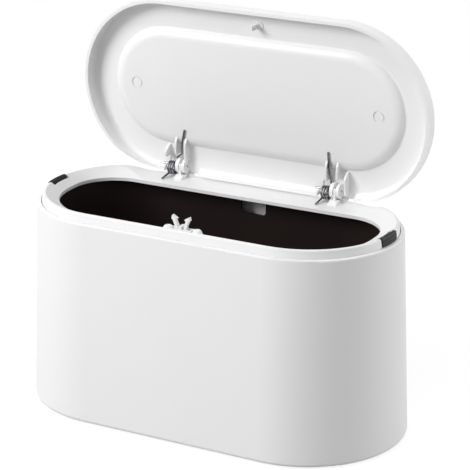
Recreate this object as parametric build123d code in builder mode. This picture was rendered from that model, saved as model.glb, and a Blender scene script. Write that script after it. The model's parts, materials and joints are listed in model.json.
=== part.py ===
from build123d import *
from math import acos, atan, atan2, cos, degrees, dist, hypot, radians, sin, sqrt
import os

os.makedirs("parts", exist_ok=True)

# Desktop trash can, drawn in millimetres with its lid open.
# X runs along the can, Y from front to back, Z up; the feet stand on Z = 0.

# Outer casing
TOP_LENGTH = 230.0
TOP_WIDTH = 111.6
FLARE = 4.35
FOOT_GAP = 1.0
CASING_HEIGHT = 123.3
WALL = 2.4
TOP = FOOT_GAP + CASING_HEIGHT
LEDGE_DROP = 3.0
LEDGE_THICK = 2.0
LEDGE_LENGTH = 217.2
LEDGE_WIDTH = 98.8

# Rim frame with its raised crest and its opening
FRAME_LENGTH = TOP_LENGTH - 2 * WALL - 0.8
FRAME_WIDTH = TOP_WIDTH - 2 * WALL - 0.8
FRAME_STEP = 0.6
FRAME_THICK = 2.0
CREST = 5.0
CREST_INSET = 1.0
CREST_WIDTH = 1.6
CREST_ROUND = 1.1
OPENING_LENGTH = 201.8
OPENING_FRONT = -41.3
OPENING_REAR = 32.3
OPENING_SHIFT = -1.0
FRONT_CORNER = 41.0
REAR_CORNER = 27.0
LAND = 0.2

# Lid and its hinge line
LID_LENGTH = 230.6
LID_WIDTH = 111.0
LID_SKIRT = 2.0
LID_RIM = -6.27
LID_UNDER = 2.4
LID_TOP = 4.2
LID_ROUND = 3.2
LID_HOLLOW = 3.0
HINGE_Y = 50.07
HINGE_Z = TOP + 7.47
OPEN_ANGLE = 86.8
TRAY_LENGTH = 194.0
TRAY_WIDTH = 74.0
TRAY_DEPTH = 3.2
TRAY_RAMP = 40.0
TRAY_ROUND = 7.8
TRAY_CORNER = 0.9
TRAY_INNER_ROUND = 6.0
RELIEF_Z = -0.6
RELIEF_FLAT = 70.0
RELIEF_END = 97.0
MARK_X = 81.2
MARK_RADIUS = 3.75
MARK_WIDTH = 0.8
MARK_DEPTH = 0.7
HINGE_X = 52.5
NOTCH_HALF = 12.0
PIN_RADIUS = 0.7
PIN_ROOM = 0.08
BOSS_RADIUS = 4.6
BOSSES = ((-2.1, 2.3), (2.2, 1.8))
KNUCKLE_X = 0.5
KNUCKLE_RADIUS = 4.3
KNUCKLE_REACH = 2.1
KNUCKLE_THICK = 1.4
PIN_START = -13.2
PIN_END = 3.5

# Torsion spring, hung on the pin of each hinge
WIRE = 1.0
COIL_RADIUS = 3.7
COIL_PITCH = 1.5
COIL_X = -7.8
COIL_Y = -1.65
COIL_Z = -1.65

# Touch latch at the middle of the front, and its striker under the lid
LATCH_X = 1.5
LATCH_Y = -45.0
JAW_PIVOT_X = 2.8
JAW_PIVOT_Z = 2.2
FLANGE_FOOT = 1.4
FLANGE_TOP = 2.6
SHOULDER_TOP = 4.6
SHOULDER_X = 9.4

# Release tabs at both ends
TAB_ARC_X = (TOP_LENGTH - TOP_WIDTH) / 2
TAB_FRONT = 11.0
TAB_BACK = 8.0
TAB_INNER = 50.0
TAB_OUTER = 53.0
TAB_TRAVEL = 1.5
LEG_INNER = 107.0
LEG_OUTER = 108.3
HOOK_REACH = 109.6

# Inner bucket
BUCKET_LENGTH = 205.0
BUCKET_WIDTH = 92.0
BUCKET_SHIFT = -0.5
BUCKET_WALL = 1.6
BUCKET_CORNER = 44.0
BUCKET_DRAFT = 1.5


def save(builder, name):
    builder.part.label = name
    export_step(builder.part, f"parts/{name}.step")
    print(name, round(builder.part.volume / 1000, 2), "cm3")


# The lid is drawn in a frame of its own, whose origin is on the hinge line and
# whose local axes are X, rearwards and upwards when the lid is closed.
lid_tilt = radians(OPEN_ANGLE)
LID = Plane(origin=(0, HINGE_Y, HINGE_Z), x_dir=(1, 0, 0), z_dir=(0, sin(lid_tilt), cos(lid_tilt)))


def lid_side(x):
    """A plane across the lid at x, with local x rearwards and local y upwards."""
    rearwards = LID.y_dir
    return Plane(origin=LID.from_local_coords((x, 0, 0)), x_dir=rearwards, z_dir=(1, 0, 0))


def lid_front(y):
    """A plane along the lid, with local x along the can and local y upwards."""
    return Plane(origin=LID.from_local_coords((0, y, 0)), x_dir=(1, 0, 0), z_dir=-LID.y_dir)


def hinge_side(x):
    """A plane across the standing hinge at x, measured from the hinge line."""
    return Plane(origin=(x, HINGE_Y, HINGE_Z), x_dir=(0, 1, 0), z_dir=(1, 0, 0))


# Outer casing: a tall obround shell, a little wider at its foot
draft = degrees(atan(FLARE / CASING_HEIGHT))
with BuildPart() as outer_casing:
    with BuildSketch(Plane.XY.offset(FOOT_GAP)):
        SlotOverall(TOP_LENGTH + 2 * FLARE, TOP_WIDTH + 2 * FLARE)
    extrude(amount=CASING_HEIGHT, taper=draft)
    fillet(outer_casing.edges().group_by(Axis.Z)[0], 2.2)
    fillet(outer_casing.edges().group_by(Axis.Z)[-1], 0.9)
    with BuildSketch(Plane.XY.offset(FOOT_GAP)):
        SlotOverall(TOP_LENGTH + 2 * FLARE - 2 * WALL, TOP_WIDTH + 2 * FLARE - 2 * WALL)
    extrude(amount=CASING_HEIGHT, taper=draft, mode=Mode.SUBTRACT)
    with BuildSketch(Plane.XY.offset(TOP - LEDGE_DROP - LEDGE_THICK)):
        SlotOverall(TOP_LENGTH - 2 * WALL + 1.6, TOP_WIDTH - 2 * WALL + 1.6)
        SlotOverall(LEDGE_LENGTH, LEDGE_WIDTH, mode=Mode.SUBTRACT)
    extrude(amount=LEDGE_THICK)
save(outer_casing, "outer_casing")

# Base plate: closes the casing from below, with an upstand and four foot seats
PLATE_Z = FOOT_GAP + 0.8
PLATE_THICK = 2.0
plate_grow = 2 * FLARE * (TOP - PLATE_Z) / CASING_HEIGHT - 2 * WALL
PLATE_LENGTH = TOP_LENGTH + plate_grow
PLATE_WIDTH = TOP_WIDTH + plate_grow
FOOT_RADIUS = 6.0
foot_places = GridLocations(140.0, 72.0, 2, 2)
with BuildPart() as base_plate:
    with BuildSketch(Plane.XY.offset(PLATE_Z)):
        SlotOverall(PLATE_LENGTH, PLATE_WIDTH)
    extrude(amount=PLATE_THICK, taper=draft)
    with BuildSketch(Plane.XY.offset(PLATE_Z)):
        SlotOverall(PLATE_LENGTH - 1.0, PLATE_WIDTH - 1.0)
        SlotOverall(PLATE_LENGTH - 4.2, PLATE_WIDTH - 4.2, mode=Mode.SUBTRACT)
    extrude(amount=7.0, taper=draft)
    with BuildSketch(Plane.XY.offset(PLATE_Z)):
        with foot_places:
            Circle(FOOT_RADIUS + 0.2)
    extrude(amount=0.8, mode=Mode.SUBTRACT)
save(base_plate, "base_plate")

# Four rubber feet, each set into its seat
for index, place in enumerate(foot_places.locations):
    with BuildPart() as foot:
        with BuildSketch(Plane.XY):
            with Locations(place):
                Circle(FOOT_RADIUS)
        extrude(amount=PLATE_Z + 0.8)
        fillet(foot.edges().group_by(Axis.Z)[0], 0.8)
    save(foot, f"rubber_foot_{index + 1}")

# Inner bucket: dark liner with a bag window high in its back wall
BUCKET_FLOOR = PLATE_Z + PLATE_THICK
BUCKET_TOP = TOP + LAND - FRAME_THICK - 0.2
bucket_height = BUCKET_TOP - BUCKET_FLOOR
WINDOW_WIDTH = 16.8
WINDOW_LOW = TOP - 14.5
WINDOW_HIGH = TOP - 5.0
with BuildPart() as inner_bucket:
    with BuildSketch(Plane.XY.offset(BUCKET_TOP)):
        with Locations((0, BUCKET_SHIFT)):
            RectangleRounded(
                BUCKET_LENGTH + 2 * BUCKET_WALL, BUCKET_WIDTH + 2 * BUCKET_WALL, BUCKET_CORNER + BUCKET_WALL
            )
    extrude(amount=-bucket_height, taper=BUCKET_DRAFT)
    fillet(inner_bucket.edges().group_by(Axis.Z)[0], 3.0)
    with BuildSketch(Plane.XY.offset(BUCKET_TOP)):
        with Locations((0, BUCKET_SHIFT)):
            RectangleRounded(BUCKET_LENGTH, BUCKET_WIDTH, BUCKET_CORNER)
    extrude(amount=BUCKET_WALL - bucket_height, taper=BUCKET_DRAFT, mode=Mode.SUBTRACT)
    with BuildSketch(Plane.XZ.offset(-40.0)):
        with Locations((0, (WINDOW_LOW + WINDOW_HIGH) / 2)):
            RectangleRounded(WINDOW_WIDTH, WINDOW_HIGH - WINDOW_LOW, 2.5)
    extrude(amount=-12.0, mode=Mode.SUBTRACT)
    # A notch in the front wall lets the latch housing hang down inside
    with BuildSketch(Plane.XY.offset(BUCKET_TOP)):
        with Locations((LATCH_X, LATCH_Y - 1.0)):
            Rectangle(19.0, 11.0)
    extrude(amount=-13.0, mode=Mode.SUBTRACT)
save(inner_bucket, "inner_bucket")

# Rim frame: a ring on the casing's ledge, with a crest all round that runs out
# into a flat bay for the hinges at the back
crest_taper = degrees(atan(CREST_INSET / (CREST + FRAME_STEP)))
CREST_LENGTH = FRAME_LENGTH - 2 * CREST_INSET - 2 * CREST_WIDTH
CREST_SPAN = FRAME_WIDTH - 2 * CREST_INSET - 2 * CREST_WIDTH
BAY_FLAT = 64.0
BAY_END = 98.0
STEM_FOOT = TOP + LAND - HINGE_Z
ROOT = STEM_FOOT - 0.5
POCKET_GROW = 2 * BUCKET_WALL + 1.2
hinges = {"left": -HINGE_X, "right": HINGE_X}
# The lid's rear edge comes to rest on a low pad behind each hinge
edge_round = sqrt(LID_ROUND**2 - (LID_UNDER - LID_TOP + LID_ROUND) ** 2)
rear_edge = LID_WIDTH / 2 - HINGE_Y - LID_ROUND + edge_round
pad_rest = cos(lid_tilt) * LID_UNDER - sin(lid_tilt) * rear_edge - 0.04
# The opening is round at the front and has a straight edge at the back
with BuildSketch() as opening:
    with Locations((OPENING_SHIFT, (OPENING_FRONT + OPENING_REAR) / 2)):
        Rectangle(OPENING_LENGTH, OPENING_REAR - OPENING_FRONT)
    fillet(opening.vertices().group_by(Axis.Y)[0], FRONT_CORNER)
    fillet(opening.vertices().group_by(Axis.Y)[-1], REAR_CORNER)
with BuildPart() as rim_frame:
    with BuildSketch(Plane.XY.offset(TOP - LEDGE_DROP)):
        SlotOverall(FRAME_LENGTH, FRAME_WIDTH)
    extrude(amount=LEDGE_DROP - FRAME_STEP)
    with BuildSketch(Plane.XY.offset(TOP - FRAME_STEP)):
        SlotOverall(FRAME_LENGTH, FRAME_WIDTH)
    extrude(amount=CREST + FRAME_STEP, taper=crest_taper)
    fillet(rim_frame.edges().group_by(Axis.Z)[-1], CREST_ROUND)
    # The funnel falls from the crest to the opening
    with BuildSketch(Plane.XY.offset(TOP + CREST)):
        RectangleRounded(CREST_LENGTH, CREST_SPAN, CREST_SPAN / 2 - 0.05)
    with BuildSketch(Plane.XY.offset(TOP + LAND)):
        add(opening.sketch)
    loft(mode=Mode.SUBTRACT)
    with BuildSketch(Plane.XY.offset(TOP + LAND + 0.1)):
        add(opening.sketch)
    extrude(amount=-2 * LEDGE_DROP, mode=Mode.SUBTRACT)
    # A shallow pocket below takes the bucket's upper edge
    with BuildSketch(Plane.XY.offset(TOP - LEDGE_DROP)):
        with Locations((0, BUCKET_SHIFT)):
            RectangleRounded(
                BUCKET_LENGTH + POCKET_GROW, BUCKET_WIDTH + POCKET_GROW, BUCKET_CORNER + POCKET_GROW / 2
            )
    extrude(amount=LEDGE_DROP + LAND - FRAME_THICK, mode=Mode.SUBTRACT)
    # The bay for the hinges and the swinging rear of the lid
    with BuildSketch(Plane.XZ.offset(-20.0)):
        with BuildLine():
            Line((-BAY_FLAT, TOP + LAND), (BAY_FLAT, TOP + LAND))
            for way in (-1, 1):
                middle = (way * (BAY_FLAT + BAY_END) / 2, TOP + (LAND + CREST) / 2)
                run_out = TangentArc((way * BAY_FLAT, TOP + LAND), middle, tangent=(way, 0))
                TangentArc(middle, (way * BAY_END, TOP + CREST), tangent=run_out % 1)
            Polyline(
                (-BAY_END, TOP + CREST),
                (-BAY_END, TOP + CREST + 4),
                (BAY_END, TOP + CREST + 4),
                (BAY_END, TOP + CREST),
            )
        make_face()
    extrude(amount=-40.0, mode=Mode.SUBTRACT)
    # The seat of the touch latch in the front funnel
    with BuildSketch(Plane.XY.offset(TOP + FLANGE_FOOT)):
        with Locations((LATCH_X, LATCH_Y)):
            SlotOverall(28.2, 9.2)
            Rectangle(19.0, 9.2)
        with Locations((LATCH_X, LATCH_Y + 6.0)):
            Rectangle(28.2, 12.0)
    extrude(amount=10.0, mode=Mode.SUBTRACT)
    with BuildSketch(Plane.XY.offset(TOP - 5.0)):
        with Locations((LATCH_X, LATCH_Y + 2.0)):
            Rectangle(16.6, 11.8)
    extrude(amount=8.0, mode=Mode.SUBTRACT)
    # A curved slot at each end for the release tab, and room below for its leg
    for side in (-1, 1):
        slot_inner = TAB_INNER - TAB_TRAVEL - 0.3
        slot_outer = TAB_OUTER + 7.0
        slot_span = TAB_FRONT + TAB_BACK + 1.8
        start = -TAB_FRONT - 0.9 if side > 0 else 180.0 - TAB_BACK - 0.9
        with BuildSketch(Plane.XY.offset(TOP - 0.2)):
            with BuildLine():
                CenterArc((side * TAB_ARC_X, 0), slot_inner, start, slot_span)
                CenterArc((side * TAB_ARC_X, 0), slot_outer, start, slot_span)
                for angle in (start, start + slot_span):
                    c, s = cos(radians(angle)), sin(radians(angle))
                    Line(
                        (side * TAB_ARC_X + slot_inner * c, slot_inner * s),
                        (side * TAB_ARC_X + slot_outer * c, slot_outer * s),
                    )
            make_face()
        extrude(amount=10.0, mode=Mode.SUBTRACT)
        with BuildSketch(Plane.XY.offset(TOP - 5.0)):
            with Locations((side * (LEG_INNER + 0.3), 0)):
                Rectangle(4.6, 11.0)
        extrude(amount=6.5, mode=Mode.SUBTRACT)
    for centre in hinges.values():
        # A knuckle stands between the lid's bosses, cut back where the lid swings past
        with BuildSketch(hinge_side(centre + KNUCKLE_X)):
            Circle(KNUCKLE_RADIUS)
            with Locations((0, KNUCKLE_REACH + 3.0)):
                Rectangle(12.0, 6.0, mode=Mode.SUBTRACT)
            with Locations((6.0, 0)):
                Rectangle(12.0, 12.0, mode=Mode.SUBTRACT)
            Circle(KNUCKLE_REACH)
            with BuildLine():
                Polyline((-4.0, -1.5), (-4.6, ROOT), (KNUCKLE_REACH, ROOT), (KNUCKLE_REACH, 0.0), close=True)
            make_face()
            Circle(PIN_RADIUS, mode=Mode.SUBTRACT)
        extrude(amount=KNUCKLE_THICK)
        # The pad on which the opened lid rests
        with BuildSketch(hinge_side(centre - 2.2)):
            with BuildLine():
                Polyline((1.0, ROOT), (1.0, pad_rest), (2.9, pad_rest), (2.9, ROOT), close=True)
            make_face()
        extrude(amount=9.8)
save(rim_frame, "rim_frame")

# Lid: a shallow obround cap with a tray sunk into its top
lid_up = Axis(LID.origin, LID.z_dir)
PANEL = LID_UNDER - TRAY_DEPTH
FIN_ROOT = LID_UNDER + 0.4
FIN_THICK = 1.2
# Each long gusset by its place beside the hinge's middle and where it starts
fins = {"left": ((-2.3, -7.6), (4.3, -3.0)), "right": ((-5.0, -6.1), (2.3, -7.6))}
# Each short gusset by its place and its lower edge
short_fins = {
    "left": (-9.0, ((-5.4, -3.0), (-6.0, -3.6))),
    "right": (7.6, ((2.7, -0.5), (1.0, -3.0))),
}
with BuildPart() as lid:
    with BuildSketch(LID.offset(LID_RIM)):
        with Locations((0, -HINGE_Y)):
            SlotOverall(LID_LENGTH, LID_WIDTH)
    extrude(amount=LID_TOP - LID_RIM)
    fillet(lid.edges().group_by(lid_up)[-1], LID_ROUND)
    with BuildSketch(LID.offset(LID_RIM)):
        with Locations((0, -HINGE_Y)):
            SlotOverall(LID_LENGTH - 2 * LID_SKIRT, LID_WIDTH - 2 * LID_SKIRT)
    extrude(amount=LID_UNDER - LID_RIM, mode=Mode.SUBTRACT)
    fillet(lid.edges(Select.LAST).group_by(lid_up)[-1], LID_HOLLOW)
    # The tray shows from below as a raised panel with sloping sides
    with BuildSketch(LID.offset(LID_UNDER)):
        with Locations((0, -HINGE_Y)):
            SlotOverall(TRAY_LENGTH, TRAY_WIDTH)
    extrude(amount=-TRAY_DEPTH, taper=TRAY_RAMP)
    ramp_edges = lid.edges(Select.LAST).group_by(lid_up)
    panel_edges, channel_edges = ramp_edges[0], ramp_edges[-1]
    fillet(channel_edges, TRAY_CORNER)
    fillet(panel_edges, TRAY_ROUND)
    with BuildSketch(LID.offset(LID_TOP)):
        with Locations((0, -HINGE_Y)):
            SlotOverall(TRAY_LENGTH - 1.2, TRAY_WIDTH - 1.2)
    extrude(amount=-TRAY_DEPTH, taper=TRAY_RAMP, mode=Mode.SUBTRACT)
    fillet(lid.edges(Select.LAST).group_by(lid_up)[0], TRAY_INNER_ROUND)
    with BuildSketch(LID.offset(PANEL)):
        with Locations((-MARK_X, -HINGE_Y), (MARK_X, -HINGE_Y)):
            Circle(MARK_RADIUS)
            Circle(MARK_RADIUS - MARK_WIDTH, mode=Mode.SUBTRACT)
    extrude(amount=MARK_DEPTH, mode=Mode.SUBTRACT)
    # The skirt runs out towards the back so that it can swing down behind the rim
    with BuildSketch(lid_front(8.0)):
        with BuildLine():
            Polyline(
                (-RELIEF_END, LID_RIM),
                (-RELIEF_FLAT, RELIEF_Z),
                (RELIEF_FLAT, RELIEF_Z),
                (RELIEF_END, LID_RIM),
                (RELIEF_END, LID_RIM - 2.0),
                (-RELIEF_END, LID_RIM - 2.0),
                close=True,
            )
        make_face()
    extrude(amount=22.0, mode=Mode.SUBTRACT)
    with BuildSketch(LID.offset(LID_RIM)):
        with Locations((-HINGE_X, 3.1), (HINGE_X, 3.1)):
            Rectangle(2 * NOTCH_HALF, 6.8)
    extrude(amount=LID_UNDER - LID_RIM, mode=Mode.SUBTRACT)
    for side, centre in hinges.items():
        # A shallow pocket over the spring's coil
        with BuildSketch(LID.offset(LID_UNDER)):
            with Locations((centre + COIL_X + 2.3, 0)):
                Rectangle(7.2, 8.4)
        extrude(amount=0.6, mode=Mode.SUBTRACT)
        # Two drilled bosses turn on the hinge pin, one on each side of the knuckle
        for boss_x, thick in BOSSES:
            with BuildSketch(lid_side(centre + boss_x)):
                Circle(BOSS_RADIUS)
                with Locations((0, FIN_ROOT + 3.0)):
                    Rectangle(12.0, 6.0, mode=Mode.SUBTRACT)
            extrude(amount=thick)
        with BuildSketch(lid_side(centre - 3.0)):
            Circle(PIN_RADIUS + PIN_ROOM)
        extrude(amount=8.0, mode=Mode.SUBTRACT)
        # Pointed gussets stiffen the plate above the bosses
        for fin_x, foot in fins[side]:
            with BuildSketch(lid_side(centre + fin_x - FIN_THICK / 2)):
                with BuildLine():
                    Polyline(
                        (foot, FIN_ROOT),
                        (foot, -2.6),
                        (foot - 0.6, -3.1),
                        (-12.5, -3.1),
                        (-15.8, -2.5),
                        (-17.8, PANEL - 0.3),
                        (-18.3, PANEL + 0.3),
                        (-16.6, PANEL + 1.4),
                        (-13.6, LID_UNDER + 0.2),
                        (-12.0, FIN_ROOT),
                        close=True,
                    )
                make_face()
            extrude(amount=FIN_THICK)
        fin_x, lower_edge = short_fins[side]
        with BuildSketch(lid_side(centre + fin_x - FIN_THICK / 2)):
            with BuildLine():
                Polyline(
                    (lower_edge[0][0], FIN_ROOT),
                    *lower_edge,
                    (-8.6, -3.6),
                    (-10.8, -1.2),
                    (-12.4, LID_UNDER - 0.4),
                    (-12.0, FIN_ROOT),
                    close=True,
                )
            make_face()
        extrude(amount=FIN_THICK)
save(lid, "lid")

# Latch striker: an arrow head on a thin neck under the front of the lid
striker_y = LATCH_Y - HINGE_Y
with BuildPart() as latch_striker:
    with BuildSketch(LID.offset(LID_UNDER)):
        with Locations((LATCH_X, striker_y)):
            SlotOverall(7.4, 5.0)
    extrude(amount=-0.6)
    with BuildSketch(lid_front(striker_y + 1.3)):
        with BuildLine():
            Polyline(
                (LATCH_X - 2.6, LID_UNDER - 0.5),
                (LATCH_X - 0.65, LID_UNDER - 1.8),
                (LATCH_X - 0.65, -2.8),
                (LATCH_X - 1.3, -3.0),
                (LATCH_X - 0.3, -5.3),
                (LATCH_X + 0.3, -5.3),
                (LATCH_X + 1.3, -3.0),
                (LATCH_X + 0.65, -2.8),
                (LATCH_X + 0.65, LID_UNDER - 1.8),
                (LATCH_X + 2.6, LID_UNDER - 0.5),
                close=True,
            )
        make_face()
    extrude(amount=2.6)
save(latch_striker, "latch_striker")

# Hinge pins, pressed into the knuckles; each one's long free end carries a spring
for side, centre in hinges.items():
    with BuildPart() as hinge_pin:
        with BuildSketch(hinge_side(centre + PIN_START)):
            Circle(PIN_RADIUS)
        extrude(amount=PIN_END - PIN_START)
        chamfer(hinge_pin.edges().group_by(Axis.X)[0], 0.15)
        chamfer(hinge_pin.edges().group_by(Axis.X)[-1], 0.15)
    save(hinge_pin, f"hinge_pin_{side}")


def biarc(start, start_tangent, end, end_tangent):
    """Two arcs from start to end that leave and arrive along the given tangents."""
    chord = end - start
    tangents = start_tangent + end_tangent
    spread = 2 * (1 - start_tangent.dot(end_tangent))
    across = chord.dot(tangents)
    reach = (sqrt(across**2 + spread * chord.dot(chord)) - across) / spread
    first = start + start_tangent * reach
    second = end - end_tangent * reach
    middle = (first + second) / 2
    TangentArc(start, middle, tangent=start_tangent)
    TangentArc(middle, end, tangent=(second - first).normalized())


def wind(position, tangent, turns, quarters, first_tangent, last_tangent):
    """Biarcs along a helix, one for each quarter turn or less."""
    for index in range(quarters):
        a, b = turns * index / quarters, turns * (index + 1) / quarters
        leave = first_tangent if index == 0 else tangent(a)
        arrive = last_tangent if index == quarters - 1 else tangent(b)
        biarc(position(a), leave, position(b), arrive)


def least_gap(path, wire, name):
    """Print the least clear gap between parts of one wire's path."""
    count = int(path.length / 0.12)
    points = [tuple(path @ (i / count)) for i in range(count + 1)]
    apart = int(count * 4 * wire / path.length) + 1
    gap = min(
        dist(points[i], points[j]) for i in range(count + 1) for j in range(i + apart, count + 1)
    )
    print(name, "least gap to itself", round(gap - wire, 3), "mm")


# Torsion springs: the lower leg lies on the rim, the upper leg runs up the lid
leg_depth = PANEL - WIRE / 2 - 0.2
bend = (-15.5, leg_depth)
leg_tip = (-24.0, leg_depth)
slope = radians(8.0)
foot_angle = radians(270.0) + slope
for side, centre in hinges.items():
    coil_y, coil_z = HINGE_Y + COIL_Y, HINGE_Z + COIL_Z
    bend_point = LID.from_local_coords((centre, *bend))
    away = hypot(bend_point.Y - coil_y, bend_point.Z - coil_z)
    leave_angle = atan2(bend_point.Z - coil_z, bend_point.Y - coil_y) - acos(COIL_RADIUS / away)
    coil_turn = radians(360.0 * 4) + leave_angle - foot_angle
    coil_x = centre + COIL_X
    rise = COIL_PITCH / radians(360.0)

    def position(angle):
        around = foot_angle + angle
        return Vector(
            coil_x + rise * angle, coil_y + COIL_RADIUS * cos(around), coil_z + COIL_RADIUS * sin(around)
        )

    def tangent(angle):
        around = foot_angle + angle
        return Vector(rise, -COIL_RADIUS * sin(around), COIL_RADIUS * cos(around)).normalized()

    foot_way = Vector(0, cos(slope), sin(slope))
    leg_way = Vector(0, -sin(leave_angle), cos(leave_angle))
    foot_run = (position(0).Z - (TOP + LAND + WIRE / 2 + 0.03)) / sin(slope)
    top = position(coil_turn)
    if side == "left":
        # This leg crosses above the boss and rises between the gussets
        corners = [
            top + leg_way * 5.8,
            top + leg_way * 8.6 + Vector(3.6, 0, 0),
            LID.from_local_coords((centre + 1.95, *bend)),
            LID.from_local_coords((centre + 3.8, *leg_tip)),
        ]
    else:
        corners = [
            LID.from_local_coords((centre - 3.5, *bend)),
            LID.from_local_coords((centre - 3.8, *leg_tip)),
        ]
    with BuildPart() as torsion_spring:
        with BuildLine() as path:
            Line(position(0) - foot_way * foot_run, position(0))
            leg_start = top + leg_way * 1.5
            wind(position, tangent, coil_turn, 13, foot_way, leg_way)
            Line(top, leg_start)
            FilletPolyline(leg_start, *corners, radius=1.2)
        spring_path = path.wire()
        with BuildSketch(Plane(origin=spring_path @ 0, z_dir=spring_path % 0)):
            Circle(WIRE / 2)
        sweep(path=spring_path)
    least_gap(spring_path, WIRE, f"torsion_spring_{side}")
    save(torsion_spring, f"torsion_spring_{side}")

# Latch housing: an obround flange with two raised shoulders over a hanging body
WELL_FLOOR = TOP - 11.0
with BuildPart() as latch_housing:
    with BuildSketch(Plane.XY.offset(TOP + FLANGE_FOOT)):
        with Locations((LATCH_X, LATCH_Y)):
            SlotOverall(27.0, 8.4)
    extrude(amount=FLANGE_TOP - FLANGE_FOOT)
    fillet(latch_housing.edges().group_by(Axis.Z)[-1], 0.8)
    with BuildSketch(Plane.XY.offset(TOP + FLANGE_FOOT)):
        with Locations((LATCH_X - SHOULDER_X, LATCH_Y + 1.1), (LATCH_X + SHOULDER_X, LATCH_Y + 1.1)):
            Circle(2.95)
    extrude(amount=SHOULDER_TOP - FLANGE_FOOT)
    fillet(latch_housing.edges().group_by(Axis.Z)[-1], 1.9)
    with BuildSketch(Plane.XY.offset(TOP + FLANGE_FOOT)):
        with Locations((LATCH_X, LATCH_Y + 0.2)):
            Rectangle(16.0, 7.6)
    extrude(amount=WELL_FLOOR - 1.0 - TOP - FLANGE_FOOT)
    with BuildSketch(Plane.XY.offset(WELL_FLOOR)):
        with Locations((LATCH_X, LATCH_Y)):
            Rectangle(15.0, 5.0)
    extrude(amount=20.0, mode=Mode.SUBTRACT)
save(latch_housing, "latch_housing")

# Latch plunger: slides in the housing, with cheeks that hold the two jaws and a
# thin post between them, on which the striker pushes
PLUNGER_FOOT = TOP - 5.5
PLUNGER_TOP = TOP + 4.2
POST_TOP = TOP + 6.1
POST_HALF = 1.0
BORE_TOP = TOP - 1.2
JAW_SLOT = 5.25
with BuildPart() as latch_plunger:
    with BuildSketch(Plane.XY.offset(PLUNGER_FOOT)):
        with Locations((LATCH_X, LATCH_Y)):
            Rectangle(14.4, 4.4)
    extrude(amount=PLUNGER_TOP - PLUNGER_FOOT)
    with BuildSketch(Plane.XY.offset(TOP)):
        with Locations((LATCH_X, LATCH_Y)):
            Rectangle(2 * POST_HALF, 4.4)
    extrude(amount=POST_TOP - TOP)
    fillet(latch_plunger.edges().filter_by(Axis.Y).group_by(Axis.Z)[-1], 0.6)
    with BuildSketch(Plane.XY.offset(TOP + 0.3)):
        for side in (-1, 1):
            with Locations((LATCH_X + side * (POST_HALF + JAW_SLOT / 2), LATCH_Y)):
                Rectangle(JAW_SLOT, 2.4)
    extrude(amount=5.0, mode=Mode.SUBTRACT)
    with BuildSketch(Plane.XY.offset(PLUNGER_FOOT)):
        with Locations((LATCH_X, LATCH_Y)):
            Circle(1.5)
    extrude(amount=BORE_TOP - PLUNGER_FOOT, mode=Mode.SUBTRACT)
    with BuildSketch(Plane.XZ.offset(-LATCH_Y + 3.0)):
        for side in (-1, 1):
            with Locations((LATCH_X + side * JAW_PIVOT_X, TOP + JAW_PIVOT_Z)):
                Circle(0.88)
    extrude(amount=-6.0, mode=Mode.SUBTRACT)
save(latch_plunger, "latch_plunger")

# Latch jaws: arrow heads that lean apart and close on the striker, each with its
# own pivot pin
jaw_head = (
    (2.0, 4.6), (2.0, 5.9), (3.35, 9.2), (2.35, 9.9), (5.5, 11.75), (6.0, 9.6), (5.15, 9.0),
    (3.8, 5.7), (3.8, 4.6),
)
jaw_root = ((1.45, 2.2), (2.0, 5.0), (3.8, 5.0), (4.15, 2.2))
for name, side in (("left", -1), ("right", 1)):
    pivot = (LATCH_X + side * JAW_PIVOT_X, TOP + JAW_PIVOT_Z)
    with BuildPart() as latch_jaw:
        for outline, thick in ((jaw_head, 2.4), (jaw_root, 1.8)):
            with BuildSketch(Plane.XZ.offset(-LATCH_Y + thick / 2)):
                with BuildLine():
                    Polyline([(LATCH_X + side * x, TOP + z) for x, z in outline], close=True)
                make_face()
            extrude(amount=-thick)
        with BuildSketch(Plane.XZ.offset(-LATCH_Y + 0.9)):
            with Locations(pivot):
                Circle(1.5)
        extrude(amount=-1.8)
        with BuildSketch(Plane.XZ.offset(-LATCH_Y + 2.2)):
            with Locations(pivot):
                Circle(0.8)
        extrude(amount=-4.4)
    save(latch_jaw, f"latch_jaw_{name}")

# Latch spring: a small compression spring between the well's floor and the plunger
LATCH_WIRE = 0.4
LATCH_COIL = 1.1
LATCH_TURNS = 8
spring_low = WELL_FLOOR + LATCH_WIRE / 2 + 0.02
spring_high = BORE_TOP - LATCH_WIRE / 2 - 0.02
full_turn = radians(360.0) * LATCH_TURNS
climb = (spring_high - spring_low) / full_turn


def latch_position(angle):
    return Vector(
        LATCH_X + LATCH_COIL * cos(angle), LATCH_Y + LATCH_COIL * sin(angle), spring_low + climb * angle
    )


def latch_tangent(angle):
    return Vector(-LATCH_COIL * sin(angle), LATCH_COIL * cos(angle), climb).normalized()


with BuildPart() as latch_spring:
    with BuildLine() as path:
        level = Vector(0, 1, 0)
        Line(latch_position(0) - level * LATCH_WIRE, latch_position(0))
        wind(latch_position, latch_tangent, full_turn, 4 * LATCH_TURNS, level, level)
        Line(latch_position(full_turn), latch_position(full_turn) + level * LATCH_WIRE)
    spring_path = path.wire()
    with BuildSketch(Plane(origin=spring_path @ 0, z_dir=spring_path % 0)):
        Circle(LATCH_WIRE / 2)
    sweep(path=spring_path)
least_gap(spring_path, LATCH_WIRE, "latch_spring")
save(latch_spring, "latch_spring")

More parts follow.
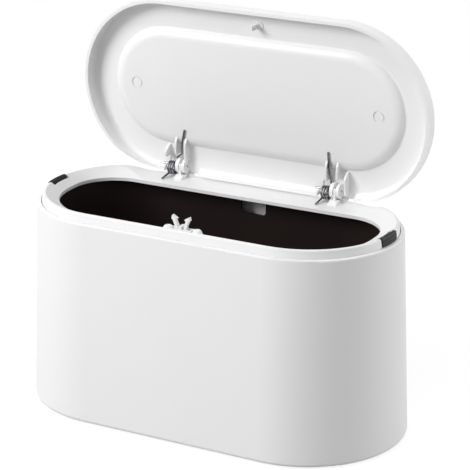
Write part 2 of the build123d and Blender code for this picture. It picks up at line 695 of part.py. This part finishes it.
# Release tabs: ribbed pads in the end slots, each on a leg that hooks under the ledge
PAD_LOW = 0.2
FOOT_TOP = 1.2
pad_outline = (
    (TAB_INNER, PAD_LOW), (TAB_OUTER, PAD_LOW), (TAB_OUTER, 1.7), (TAB_OUTER - 0.3, 1.7),
    (TAB_OUTER - 0.3, 2.1), (TAB_OUTER, 2.1), (TAB_OUTER, 3.3), (TAB_OUTER - 0.4, 3.5),
    (TAB_OUTER - 0.4, 3.9), (TAB_OUTER - 0.1, 4.1), (52.3, 5.1), (51.8, 5.2), (51.8, 4.8),
    (51.4, 4.8), (51.4, 5.2), (50.9, 5.1), (50.9, 4.7), (50.5, 4.7), (50.5, 4.9), (TAB_INNER, 4.3),
)
for name, side in (("left", -1), ("right", 1)):
    arc_x = side * TAB_ARC_X
    with BuildPart() as release_tab:
        for way, arc in ((-side, TAB_FRONT), (side, TAB_BACK)):
            with BuildSketch(Plane.XZ):
                with BuildLine():
                    Polyline([(arc_x + side * r, TOP + z) for r, z in pad_outline], close=True)
                make_face()
            revolve(axis=Axis((arc_x, 0, 0), (0, 0, way)), revolution_arc=arc)
        with BuildSketch(Plane.XZ.offset(5.0)):
            with BuildLine():
                Polyline(
                    (side * LEG_INNER, TOP + FOOT_TOP),
                    (side * LEG_INNER, TOP - 8.0),
                    (side * LEG_OUTER, TOP - 8.0),
                    (side * HOOK_REACH, TOP - 5.8),
                    (side * HOOK_REACH, TOP - 5.4),
                    (side * LEG_OUTER, TOP - 5.4),
                    (side * LEG_OUTER, TOP + PAD_LOW),
                    (side * (LEG_OUTER + 2.0), TOP + PAD_LOW),
                    (side * (LEG_OUTER + 2.0), TOP + FOOT_TOP),
                    close=True,
                )
            make_face()
        extrude(amount=-10.0)
    save(release_tab, f"release_tab_{name}")
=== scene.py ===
# %% [markdown]
# # A desktop trash can with a sprung lid
# The real object is a small oval bin for a desk. Its casing, rim and lid are
# injection-moulded polypropylene, its liner is a dark moulding, and two wire
# springs throw the lid open once the touch latch lets go.
# The imported solids already have the right shapes, so this lesson dresses them:
# it gives each one a finish, winds the springs anew, sets a small block under
# each hinge, and then makes the camera, the floor and the light.

# %% Load the imported model
import json
import math
import bmesh
import bpy
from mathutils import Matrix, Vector


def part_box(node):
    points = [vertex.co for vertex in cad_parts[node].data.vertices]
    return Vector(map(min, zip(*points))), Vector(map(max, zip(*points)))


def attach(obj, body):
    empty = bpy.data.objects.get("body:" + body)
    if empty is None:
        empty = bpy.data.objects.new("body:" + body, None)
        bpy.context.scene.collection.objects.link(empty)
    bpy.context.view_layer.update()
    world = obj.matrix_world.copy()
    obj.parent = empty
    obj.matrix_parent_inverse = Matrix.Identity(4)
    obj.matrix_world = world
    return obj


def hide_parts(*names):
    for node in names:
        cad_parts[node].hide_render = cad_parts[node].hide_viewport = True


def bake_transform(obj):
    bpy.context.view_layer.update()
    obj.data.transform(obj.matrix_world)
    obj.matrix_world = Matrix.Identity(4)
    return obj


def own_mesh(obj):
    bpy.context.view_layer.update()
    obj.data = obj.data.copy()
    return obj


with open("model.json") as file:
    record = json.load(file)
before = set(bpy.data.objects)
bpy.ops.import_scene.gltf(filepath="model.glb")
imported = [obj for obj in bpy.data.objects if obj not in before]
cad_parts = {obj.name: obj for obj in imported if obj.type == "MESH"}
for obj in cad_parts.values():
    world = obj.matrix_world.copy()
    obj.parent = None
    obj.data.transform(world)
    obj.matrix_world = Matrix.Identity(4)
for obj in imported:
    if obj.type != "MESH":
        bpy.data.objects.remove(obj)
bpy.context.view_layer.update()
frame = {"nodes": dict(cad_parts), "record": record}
nodes = frame["nodes"]

# %% [markdown]
# ## Sizes
# All lengths are in metres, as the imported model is. Millimetres are easier to
# read on a small object, so each value is written in millimetres and turned by
# one factor.

# %% Sizes that the pieces share
MM = 0.001
FULL_TURN = math.radians(360)
CASING_TOP = 124.3 * MM
HINGE_HEIGHT = 7.47 * MM
HINGE_LINE = Vector((0, 50.07 * MM, CASING_TOP + HINGE_HEIGHT))
HINGE_OFFSETS = {"left": -52.5 * MM, "right": 52.5 * MM}
OPEN_ANGLE = math.radians(86.8)
RIM_LAND = CASING_TOP + 0.2 * MM
print("hinge line at", [round(value / MM, 2) for value in HINGE_LINE], "mm")


# %% [markdown]
# ## Building materials from nodes
# A shader tree is a list of nodes and links. One small function adds a node,
# sets its properties and fills its inputs, so that each material below reads
# from top to bottom like a recipe. Colours are written as sRGB hex values, as
# a paint chart would give them, and turned to linear light by one function,
# which follows the sRGB standard: straight near black, and a curve above that.

# %% Colours
SRGB_KNEE = 0.04045
SRGB_SLOPE = 12.92
SRGB_LIFT = 0.055
SRGB_POWER = 2.4


def linear(hex_colour):
    """An sRGB hex colour as linear red, green, blue and alpha."""
    channels = [int(hex_colour[i:i + 2], 16) / 255 for i in (0, 2, 4)]
    light = [c / SRGB_SLOPE if c <= SRGB_KNEE else ((c + SRGB_LIFT) / (1 + SRGB_LIFT)) ** SRGB_POWER
             for c in channels]
    return (*light, 1.0)


print("mid grey is", round(linear("808080")[0], 3), "in linear light")


# %% Nodes and new materials
def add_node(tree, kind, settings=None, inputs=None):
    """Adds a node. An input's value is a number, a colour or another node's output socket."""
    node = tree.nodes.new(kind)
    for name, value in (settings or {}).items():
        setattr(node, name, value)
    for name, value in (inputs or {}).items():
        socket = node.inputs[name]
        if isinstance(value, bpy.types.NodeSocket):
            tree.links.new(value, socket)
        else:
            socket.default_value = value
    return node


def new_finish(name):
    """A new material, its node tree and the shader in it."""
    material = bpy.data.materials.new(name)
    material.use_nodes = True
    print("making", name)
    return material, material.node_tree, material.node_tree.nodes["Principled BSDF"]


# %% [markdown]
# ## Moulded polypropylene
# Polypropylene copies the polish of its steel mould. A real white wall is never
# one flat colour: the melt leaves faint clouds a few centimetres wide, and the
# surface has a soft orange-peel a millimetre or two across that breaks up the
# highlights. Dust-fine pitting of about a quarter of a millimetre dulls it.
# One function makes every moulded finish here, because they differ only in
# colour, gloss and in how deep that texture is.

# %% A moulded plastic
CLOUD_SIZE = 45 * MM
CLOUD_ROUGHNESS = 0.55
PEEL_SIZE = 2.2 * MM
PEEL_DEPTH = 0.2 * MM
GRAIN_DEPTH = 0.1 * MM
DULLNESS_SPREAD = 0.05
POLYMER_IOR = 1.49


def moulded_plastic(name, colour, cloud, roughness, peel, grain, grain_size, specular=0.5):
    """A moulded plastic: peel and grain are bump strengths, grain_size is in metres."""
    material, tree, shader = new_finish(name)
    position = add_node(tree, "ShaderNodeTexCoord").outputs["Object"]

    clouds = add_node(tree, "ShaderNodeTexNoise", None,
                      {"Vector": position, "Scale": 1 / CLOUD_SIZE, "Detail": 3.0,
                       "Roughness": CLOUD_ROUGHNESS})
    tint = add_node(tree, "ShaderNodeMix", {"data_type": "RGBA"},
                    {"Factor": clouds.outputs["Fac"]})
    tint.inputs["A"].default_value = linear(colour)
    tint.inputs["B"].default_value = linear(cloud)
    tree.links.new(tint.outputs["Result"], shader.inputs["Base Color"])

    pits = add_node(tree, "ShaderNodeTexNoise", None,
                    {"Vector": position, "Scale": 1 / grain_size, "Detail": 2.0})
    dullness = add_node(tree, "ShaderNodeMapRange", None,
                        {"Value": pits.outputs["Fac"], "To Min": roughness - DULLNESS_SPREAD,
                         "To Max": roughness + DULLNESS_SPREAD})
    tree.links.new(dullness.outputs["Result"], shader.inputs["Roughness"])

    orange_peel = add_node(tree, "ShaderNodeTexNoise", None,
                           {"Vector": position, "Scale": 1 / PEEL_SIZE, "Detail": 1.0})
    waves = add_node(tree, "ShaderNodeBump", None,
                     {"Height": orange_peel.outputs["Fac"], "Strength": peel,
                      "Distance": PEEL_DEPTH})
    fine = add_node(tree, "ShaderNodeBump", None,
                    {"Height": pits.outputs["Fac"], "Strength": grain, "Distance": GRAIN_DEPTH,
                     "Normal": waves.outputs["Normal"]})
    tree.links.new(fine.outputs["Normal"], shader.inputs["Normal"])
    shader.inputs["IOR"].default_value = POLYMER_IOR
    shader.inputs["Specular IOR Level"].default_value = specular
    return material


# %% [markdown]
# ## The moulded finishes of this can
# The casing and the rim are one white polypropylene with two degrees of polish,
# and the lid is the brightest and glossiest of the three. The liner's mould was
# spark-eroded, which leaves a grain of about half a millimetre and hardly any
# gloss. The release tabs are a grained grey grip, the latch slides well because
# it is acetal, a waxy white plastic, and the feet are soft black rubber.

# %% White polypropylene in three degrees of polish
glossy_casing = moulded_plastic(
    "glossy_white_polypropylene", colour="F3F3F4", cloud="F0F0F1", roughness=0.45,
    peel=0.06, grain=0.03, grain_size=0.3 * MM, specular=0.3)
satin_white = moulded_plastic(
    "satin_white_polypropylene", colour="F1F1F1", cloud="EEEEEF", roughness=0.40,
    peel=0.05, grain=0.05, grain_size=0.3 * MM, specular=0.4)
glossy_lid = moulded_plastic(
    "polished_white_polypropylene", colour="F7F7F7", cloud="F4F4F4", roughness=0.30,
    peel=0.05, grain=0.03, grain_size=0.3 * MM, specular=0.35)

# %% The liner, the tabs, the latch and the feet
dark_liner = moulded_plastic(
    "spark_textured_dark_polypropylene", colour="28201E", cloud="1F1817", roughness=0.50,
    peel=0.08, grain=0.35, grain_size=0.6 * MM, specular=0.12)
grey_grip = moulded_plastic(
    "grained_grey_polymer", colour="3A3A3B", cloud="313132", roughness=0.55,
    peel=0.06, grain=0.30, grain_size=0.4 * MM, specular=0.2)
white_acetal = moulded_plastic(
    "waxy_white_acetal", colour="F1F1F0", cloud="ECECEB", roughness=0.33,
    peel=0.03, grain=0.04, grain_size=0.25 * MM)
foot_rubber = moulded_plastic(
    "soft_black_rubber", colour="1D1D1D", cloud="161616", roughness=0.75,
    peel=0.05, grain=0.40, grain_size=0.5 * MM)


# %% [markdown]
# ## Drawn steel wire and ground pins
# Spring wire is pulled through a die, which leaves fine lines along it and a
# thin dark oxide, so it reflects in streaks. The hinge pins are ground bright.
# Noise that is squeezed along one axis gives such streaks. Real lines are a
# tenth of a millimetre apart, and they are drawn a little coarser here to show.

# %% A drawn or ground steel
LINE_SPACING = 0.25 * MM
LINE_LENGTH = 6 * MM
LINE_DEPTH = 0.05 * MM
LINE_STRENGTH = 0.12
BRIGHTEST_DROP = 0.06
DULLEST_RISE = 0.08


def worked_steel(name, colour, oxide, roughness, streak_axis):
    """A metal with fine lines along streak_axis, which is 0, 1 or 2."""
    material, tree, shader = new_finish(name)
    place = add_node(tree, "ShaderNodeTexCoord")
    line_scale = [1 / LINE_SPACING] * 3
    line_scale[streak_axis] = 1 / LINE_LENGTH
    squeeze = add_node(tree, "ShaderNodeMapping", None,
                       {"Vector": place.outputs["Object"], "Scale": tuple(line_scale)})
    lines = add_node(tree, "ShaderNodeTexNoise", None,
                     {"Vector": squeeze.outputs["Vector"], "Scale": 1.0, "Detail": 2.0})
    tint = add_node(tree, "ShaderNodeMix", {"data_type": "RGBA"}, {"Factor": lines.outputs["Fac"]})
    tint.inputs["A"].default_value = linear(colour)
    tint.inputs["B"].default_value = linear(oxide)
    tree.links.new(tint.outputs["Result"], shader.inputs["Base Color"])
    dullness = add_node(tree, "ShaderNodeMapRange", None,
                        {"Value": lines.outputs["Fac"], "To Min": roughness - BRIGHTEST_DROP,
                         "To Max": roughness + DULLEST_RISE})
    tree.links.new(dullness.outputs["Result"], shader.inputs["Roughness"])
    bump = add_node(tree, "ShaderNodeBump", None,
                    {"Height": lines.outputs["Fac"], "Strength": LINE_STRENGTH,
                     "Distance": LINE_DEPTH})
    tree.links.new(bump.outputs["Normal"], shader.inputs["Normal"])
    shader.inputs["Metallic"].default_value = 1.0
    return material


# %% The steels of this can
spring_wire = worked_steel("drawn_spring_steel", "A2A2A5", "58585B", 0.24, streak_axis=2)
ground_pin = worked_steel("ground_steel", "B4B4B6", "8E8E90", 0.22, streak_axis=0)

# %% [markdown]
# ## Dressing the solids
# The imported record names a finish slot for every solid. A table from slot to
# material dresses them all, and nothing is left with the plain colour it was
# imported with. The lid and its striker share the rim's slot and are polished
# more, so they are named apart.

# %% Give every solid its material
finishes = {
    "white_shell": glossy_casing,
    "white_satin": satin_white,
    "dark_liner": dark_liner,
    "grey_tab": grey_grip,
    "white_latch": white_acetal,
    "spring_steel": spring_wire,
    "steel_pin": ground_pin,
    "foot_rubber": foot_rubber,
}
polished_nodes = ("lid", "latch_striker")
for subpart in frame["record"]["subparts"]:
    name = subpart["node"]
    finish = glossy_lid if name in polished_nodes else finishes[subpart["material_slot"]]
    for material_slot in nodes[name].material_slots:
        material_slot.material = finish

# %% [markdown]
# ## Springs wound again
# The springs of the imported model are stiff, but the real ones wind up as the
# lid closes. Each is wound again here as one wire: a path of points from a
# formula, and a small Geometry Nodes tree that sweeps a round profile along it.
# The tree is shared, so the three springs differ only in their path and in the
# wire's radius and sides, which are named inputs.

# %% A node tree that draws wire along a path
WIRE_INPUTS = {
    "Path": "NodeSocketGeometry",
    "Wire Radius": "NodeSocketFloat",
    "Sides": "NodeSocketInt",
    "Finish": "NodeSocketMaterial",
}


def wire_tree():
    """Sweeps a circle along a curve: the inputs are WIRE_INPUTS, the output is the wire."""
    tree = bpy.data.node_groups.new("wire_along_path", "GeometryNodeTree")
    for name, kind in WIRE_INPUTS.items():
        tree.interface.new_socket(name, in_out="INPUT", socket_type=kind)
    tree.interface.new_socket("Wire", in_out="OUTPUT", socket_type="NodeSocketGeometry")
    given = add_node(tree, "NodeGroupInput").outputs
    profile = add_node(tree, "GeometryNodeCurvePrimitiveCircle", {"mode": "RADIUS"},
                       {"Resolution": given["Sides"], "Radius": given["Wire Radius"]})
    swept = add_node(tree, "GeometryNodeCurveToMesh", None,
                     {"Curve": given["Path"], "Profile Curve": profile.outputs["Curve"],
                      "Fill Caps": True})
    smooth = add_node(tree, "GeometryNodeSetShadeSmooth", None,
                      {"Geometry": swept.outputs["Mesh"]})
    real = add_node(tree, "GeometryNodeRealizeInstances", None,
                    {"Geometry": smooth.outputs["Geometry"]})
    finished = add_node(tree, "GeometryNodeSetMaterial", None,
                        {"Geometry": real.outputs["Geometry"], "Material": given["Finish"]})
    add_node(tree, "NodeGroupOutput", None, {"Wire": finished.outputs["Geometry"]})
    return tree


WIRE_TREE = wire_tree()
print("the wire's tree has", len(WIRE_TREE.nodes), "nodes and the inputs", list(WIRE_INPUTS))


# %% Turn a path of points into a wire mesh
def draw_wire(name, points, radius, finish, sides=20):
    """A mesh object of one wire that follows the points."""
    line = bpy.data.curves.new(name + "_path", "CURVE")
    line.dimensions = "3D"
    spline = line.splines.new("POLY")
    spline.points.add(len(points) - 1)
    for knot, point in zip(spline.points, points):
        knot.co = (*point, 1.0)
    carrier = bpy.data.objects.new(name + "_path", line)
    bpy.context.collection.objects.link(carrier)
    modifier = carrier.modifiers.new("wire", "NODES")
    modifier.node_group = WIRE_TREE
    values = {"Wire Radius": radius, "Sides": sides, "Finish": finish}
    for item in WIRE_TREE.interface.items_tree:
        if item.in_out == "INPUT" and item.name in values:
            modifier[item.identifier] = values[item.name]
    evaluated = carrier.evaluated_get(bpy.context.evaluated_depsgraph_get())
    mesh = bpy.data.meshes.new_from_object(evaluated)
    carrier.modifiers.clear()
    bpy.data.objects.remove(carrier)
    wire = bpy.data.objects.new(name, mesh)
    bpy.context.collection.objects.link(wire)
    print(name, "has", len(mesh.polygons), "faces")
    return wire


# %% [markdown]
# ## The two torsion springs
# Each coil hangs on its pin, just left of the lid's boss. The lower leg lies
# forward on the rim. The upper leg runs up the inside of the lid and lies on
# the tray's panel; on the left hinge it first crosses above the boss.
# Corners of the legs are rounded by replacing each one with a short curve.

# %% Helpers for the springs' paths
def rounded(points, reach, steps=8):
    """The polyline with a bend in place of each inner corner, from reach before it."""
    path = [points[0]]
    for before, corner, after in zip(points, points[1:], points[2:]):
        start = corner + (before - corner).normalized() * reach
        end = corner + (after - corner).normalized() * reach
        for step in range(steps + 1):
            t = step / steps
            path.append(start * (1 - t) ** 2 + corner * 2 * t * (1 - t) + end * t ** 2)
    path.append(points[-1])
    return path


def on_lid(x, rearwards, upwards):
    """A point of the open lid, measured from the hinge line as if the lid were closed."""
    c, s = math.cos(OPEN_ANGLE), math.sin(OPEN_ANGLE)
    return HINGE_LINE + Vector((x, rearwards * c + upwards * s, -rearwards * s + upwards * c))


# %% Sizes of the coils and the lower legs
TORSION_WIRE = 0.6 * MM
COIL_RADIUS = 3.7 * MM
COIL_PITCH = 1.5 * MM
COIL_START = -7.8 * MM
COIL_TURNS = 4
COIL_SAG = 1.65 * MM
COIL_CENTRE = HINGE_LINE + Vector((0, -COIL_SAG, -COIL_SAG))
STEPS_PER_TURN = 40
FOOT_SLOPE = math.radians(8)
FOOT_ANGLE = math.radians(270) + FOOT_SLOPE
FOOT_CLEARANCE = 0.03 * MM
print("a coil is", round(2 * (COIL_RADIUS + TORSION_WIRE) / MM, 1), "mm across")

# %% [markdown]
# The upper legs are given by the points that they pass, as distances from their
# hinge. LEG_KNEE and LEG_TIP lie forward of the hinge line on the closed lid,
# and LEG_DEPTH is their height there. The left leg climbs, steps across the
# boss, and then comes down to the panel between the gussets.

# %% Sizes of the upper legs
LEG_DEPTH = -1.5 * MM
LEG_KNEE = -15.5 * MM
LEG_TIP = -24.0 * MM
LEG_BEND = 0.9 * MM
LEFT_CLIMB = 5.8 * MM
LEFT_CROSSING = 8.6 * MM
LEFT_STEP = 3.6 * MM
KNEE_OFFSETS = {"left": 1.95 * MM, "right": -3.5 * MM}
TIP_OFFSETS = {"left": 3.8 * MM, "right": -3.8 * MM}
print("the legs reach", round(-LEG_TIP / MM, 1), "mm up the lid")


# %% The path of one torsion spring
def spring_path(side, hinge_x):
    """Points of one spring's wire, from the tip of its foot to the tip of its upper leg."""
    knee = on_lid(0, LEG_KNEE, LEG_DEPTH) - COIL_CENTRE
    leave_angle = math.atan2(knee.z, knee.y) - math.acos(COIL_RADIUS / math.hypot(knee.y, knee.z))
    winding = COIL_TURNS * FULL_TURN + leave_angle - FOOT_ANGLE
    steps = round(winding / FULL_TURN * STEPS_PER_TURN)
    coil = []
    for step in range(steps + 1):
        turned = winding * step / steps
        angle = FOOT_ANGLE + turned
        coil.append(Vector((hinge_x + COIL_START + COIL_PITCH * turned / FULL_TURN,
                            COIL_CENTRE.y + COIL_RADIUS * math.cos(angle),
                            COIL_CENTRE.z + COIL_RADIUS * math.sin(angle))))

    forward = Vector((0, -math.cos(FOOT_SLOPE), -math.sin(FOOT_SLOPE)))
    foot_drop = coil[0].z - RIM_LAND - TORSION_WIRE - FOOT_CLEARANCE
    foot_tip = coil[0] + forward * foot_drop / math.sin(FOOT_SLOPE)

    leg = [coil[-1]]
    if side == "left":
        upward = Vector((0, -math.sin(leave_angle), math.cos(leave_angle)))
        leg.append(coil[-1] + upward * LEFT_CLIMB)
        leg.append(coil[-1] + upward * LEFT_CROSSING + Vector((LEFT_STEP, 0, 0)))
    leg.append(on_lid(hinge_x + KNEE_OFFSETS[side], LEG_KNEE, LEG_DEPTH))
    leg.append(on_lid(hinge_x + TIP_OFFSETS[side], LEG_TIP, LEG_DEPTH))
    return [foot_tip] + coil[:-1] + rounded(leg, LEG_BEND)


# %% Wind both torsion springs
for side, hinge_x in HINGE_OFFSETS.items():
    path = spring_path(side, hinge_x)
    spring = draw_wire("wound_spring_" + side, path, TORSION_WIRE, spring_wire)
    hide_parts("torsion_spring_" + side)
    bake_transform(spring)
print("wound both torsion springs")

# %% [markdown]
# ## The latch spring
# A small compression spring sits out of sight under the latch's slider. It
# flattens as the lid pushes the slider down. It is wound again as well, between
# the bottom and the top of the imported spring.

# %% Wind the latch spring
LATCH_CENTRE = Vector((1.5 * MM, -45.0 * MM, 0))
LATCH_WIRE = 0.2 * MM
LATCH_COIL = 1.1 * MM
LATCH_TURNS = 8
LATCH_STEPS_PER_TURN = 24
latch_steps = LATCH_TURNS * LATCH_STEPS_PER_TURN
low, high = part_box("latch_spring")
latch_points = []
for step in range(latch_steps + 1):
    angle = FULL_TURN * step / LATCH_STEPS_PER_TURN
    height = low.z + LATCH_WIRE + (high.z - low.z - 2 * LATCH_WIRE) * step / latch_steps
    around = Vector((LATCH_COIL * math.cos(angle), LATCH_COIL * math.sin(angle), height))
    latch_points.append(LATCH_CENTRE + around)
latch_spring = draw_wire("wound_latch_spring", latch_points, LATCH_WIRE, spring_wire, sides=10)
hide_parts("latch_spring")
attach(latch_spring, "can")
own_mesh(latch_spring)

# %% [markdown]
# ## The blocks under the hinges
# On the real rim each knuckle stands on a small block, which runs into the land
# under the lid's bosses with a ramp to the front. Its side outline is pushed out
# along the hinge and bevelled all round, because a moulding has no sharp edges.
# The block ends just below the bosses, so the lid turns freely above it.

# %% Push a side outline out along the hinge
BEVEL_SEGMENTS = 4


def pushed_outline(name, outline, start, width, rounding, finish):
    """A bevelled block: outline holds (y, z) from the hinge line, start and width are along x."""
    shape = bmesh.new()
    loop = [shape.verts.new(HINGE_LINE + Vector((start, y, z))) for y, z in outline]
    pushed = bmesh.ops.extrude_face_region(shape, geom=[shape.faces.new(loop)])
    far_end = [item for item in pushed["geom"] if isinstance(item, bmesh.types.BMVert)]
    bmesh.ops.translate(shape, verts=far_end, vec=(width, 0, 0))
    bmesh.ops.recalc_face_normals(shape, faces=shape.faces[:])
    bmesh.ops.bevel(shape, geom=shape.edges[:], offset=rounding, segments=BEVEL_SEGMENTS,
                    profile=0.5, affect="EDGES")
    for face in shape.faces:
        face.smooth = True
    mesh = bpy.data.meshes.new(name)
    shape.to_mesh(mesh)
    shape.free()
    mesh.materials.append(finish)
    piece = bpy.data.objects.new(name, mesh)
    bpy.context.collection.objects.link(piece)
    print(name, "has", len(mesh.polygons), "faces")
    return piece


# %% Set a block under each pair of bosses
BLOCK_TOP = -4.85 * MM
BLOCK_FOOT = -7.7 * MM
BLOCK_BACK = 2.0 * MM
RAMP_TOP = -4.2 * MM
RAMP_TOE = -8.6 * MM
BLOCK_START = -1.9 * MM
BLOCK_WIDTH = 5.8 * MM
BLOCK_ROUNDING = 0.5 * MM
block_outline = [(RAMP_TOE, BLOCK_FOOT), (RAMP_TOP, BLOCK_TOP),
                 (BLOCK_BACK, BLOCK_TOP), (BLOCK_BACK, BLOCK_FOOT)]
for side, hinge_x in HINGE_OFFSETS.items():
    block = pushed_outline("hinge_block_" + side, block_outline, hinge_x + BLOCK_START,
                           BLOCK_WIDTH, BLOCK_ROUNDING, satin_white)
    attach(block, "can")

# %% [markdown]
# ## Camera
# The camera stands where the photo was taken from: low in front, a little to
# the right, and far enough away for a long lens. The focal length is kept in
# photo pixels and turned into millimetres by the width of the sensor.

# %% Set the camera
PHOTO_SIZE = 470
FOCAL_PIXELS = 2156.23
SENSOR_WIDTH = 36.0
AZIMUTH = math.radians(28.28)
ELEVATION = math.radians(19.27)
DISTANCE = 1262.74 * MM
AIM = Vector((11.76 * MM, 0, 112.37 * MM))
camera_data = bpy.data.cameras.new("camera")
camera_data.sensor_width = SENSOR_WIDTH
camera_data.lens = FOCAL_PIXELS / PHOTO_SIZE * SENSOR_WIDTH
camera = bpy.data.objects.new("camera", camera_data)
bpy.context.collection.objects.link(camera)
backwards = Vector((math.sin(AZIMUTH) * math.cos(ELEVATION),
                    -math.cos(AZIMUTH) * math.cos(ELEVATION),
                    math.sin(ELEVATION)))
camera.location = AIM + backwards * DISTANCE
camera.rotation_mode = "QUATERNION"
camera.rotation_quaternion = (-backwards).to_track_quat("-Z", "Y")
bpy.context.scene.camera = camera
print("lens", round(camera_data.lens, 1), "mm")

# %% [markdown]
# ## Floor, background and light
# The can stands on a white sweep. What the camera sees of the floor is lifted
# to white, while the can's own shadow stays faintly in it. Mirrored and
# see-through views of it are lifted too, so that steel reflects the same white.
# The world around the floor is treated in the same way, so one function tells
# such rays apart for both.

# %% Which rays see the background
def seen_directly(tree):
    """A socket that is 1 for camera, glossy and transmission rays, and 0 for all others."""
    ray = add_node(tree, "ShaderNodeLightPath").outputs
    seen = ray["Is Camera Ray"]
    for kind in ("Is Glossy Ray", "Is Transmission Ray"):
        either = add_node(tree, "ShaderNodeMath", {"operation": "MAXIMUM"}, {0: seen})
        tree.links.new(ray[kind], either.inputs[1])
        seen = either.outputs[0]
    return seen


def choose_by_ray(tree, lit, seen):
    """Mixes two shaders: light bounces off lit, and the camera sees the other one."""
    choice = add_node(tree, "ShaderNodeMixShader", None, {0: seen_directly(tree)})
    tree.links.new(lit.outputs[0], choice.inputs[1])
    tree.links.new(seen.outputs[0], choice.inputs[2])
    return choice.outputs[0]


# %% Floor
WHITE = (1, 1, 1, 1)
PAPER_GREY = "B4B4B4"
SEEN_PAPER_GREY = "808080"
PAPER_GLOW = 0.86
FLOOR_HALF = 3.0


def pale_floor():
    """A white floor that looks white to the camera and keeps the object's shadow."""
    material = bpy.data.materials.new("white_paper_floor")
    material.use_nodes = True
    tree = material.node_tree
    tree.nodes.clear()
    paper = add_node(tree, "ShaderNodeBsdfDiffuse", None, {"Color": linear(PAPER_GREY)})
    thin_paper = add_node(tree, "ShaderNodeBsdfDiffuse", None, {"Color": linear(SEEN_PAPER_GREY)})
    glow = add_node(tree, "ShaderNodeEmission", None, {"Color": WHITE, "Strength": PAPER_GLOW})
    lifted = add_node(tree, "ShaderNodeAddShader")
    tree.links.new(thin_paper.outputs[0], lifted.inputs[0])
    tree.links.new(glow.outputs[0], lifted.inputs[1])
    surface = choose_by_ray(tree, paper, lifted)
    add_node(tree, "ShaderNodeOutputMaterial", None, {"Surface": surface})
    return material


corners = [(-FLOOR_HALF, -FLOOR_HALF, 0), (FLOOR_HALF, -FLOOR_HALF, 0),
           (FLOOR_HALF, FLOOR_HALF, 0), (-FLOOR_HALF, FLOOR_HALF, 0)]
floor_mesh = bpy.data.meshes.new("floor")
floor_mesh.from_pydata(corners, [], [(0, 1, 2, 3)])
floor_mesh.materials.append(pale_floor())
floor = bpy.data.objects.new("floor", floor_mesh)
bpy.context.collection.objects.link(floor)
print("the floor is", 2 * FLOOR_HALF, "m wide")

# %% World
ROOM_STRENGTH = 0.3
world = bpy.data.worlds.new("studio")
bpy.context.scene.world = world
world.use_nodes = True
sky = world.node_tree
sky.nodes.clear()
room = add_node(sky, "ShaderNodeBackground", None, {"Color": WHITE, "Strength": ROOM_STRENGTH})
white = add_node(sky, "ShaderNodeBackground", None, {"Color": WHITE, "Strength": 1.0})
add_node(sky, "ShaderNodeOutputWorld", None, {"Surface": choose_by_ray(sky, room, white)})
print("the room's light is", ROOM_STRENGTH)

# %% [markdown]
# Four soft boxes light the can. The key stands at the front left, so the front
# wall is bright and turns darker round its right corner, before the far end
# catches the light behind it on the right. Two weak ones from above, in front
# and behind, open the shadows in the lid and on the rim. Each entry gives its
# place in metres, its width in metres and its power in watts.

# %% Lamps
LAMPS = {
    "key_light": ((-0.87, -1.09, 0.9), 0.7, 17.6),
    "end_light": ((1.36, 0.78, 0.43), 0.9, 10.5),
    "top_light": ((0.0, -0.6, 1.6), 0.6, 5),
    "back_light": ((0.0, 0.7, 1.5), 1.2, 3.2),
}
LIT_POINT = Vector((0, 0, 0.1))
for name, (place, width, power) in LAMPS.items():
    lamp_data = bpy.data.lights.new(name, "AREA")
    lamp_data.shape = "SQUARE"
    lamp_data.size = width
    lamp_data.energy = power
    lamp = bpy.data.objects.new(name, lamp_data)
    bpy.context.collection.objects.link(lamp)
    lamp.location = place
    lamp.rotation_mode = "QUATERNION"
    lamp.rotation_quaternion = (LIT_POINT - Vector(place)).to_track_quat("-Z", "Y")
print("lamps:", list(LAMPS))

# %% Colours are shown as they are, with no film look
bpy.context.scene.view_settings.view_transform = "Standard"
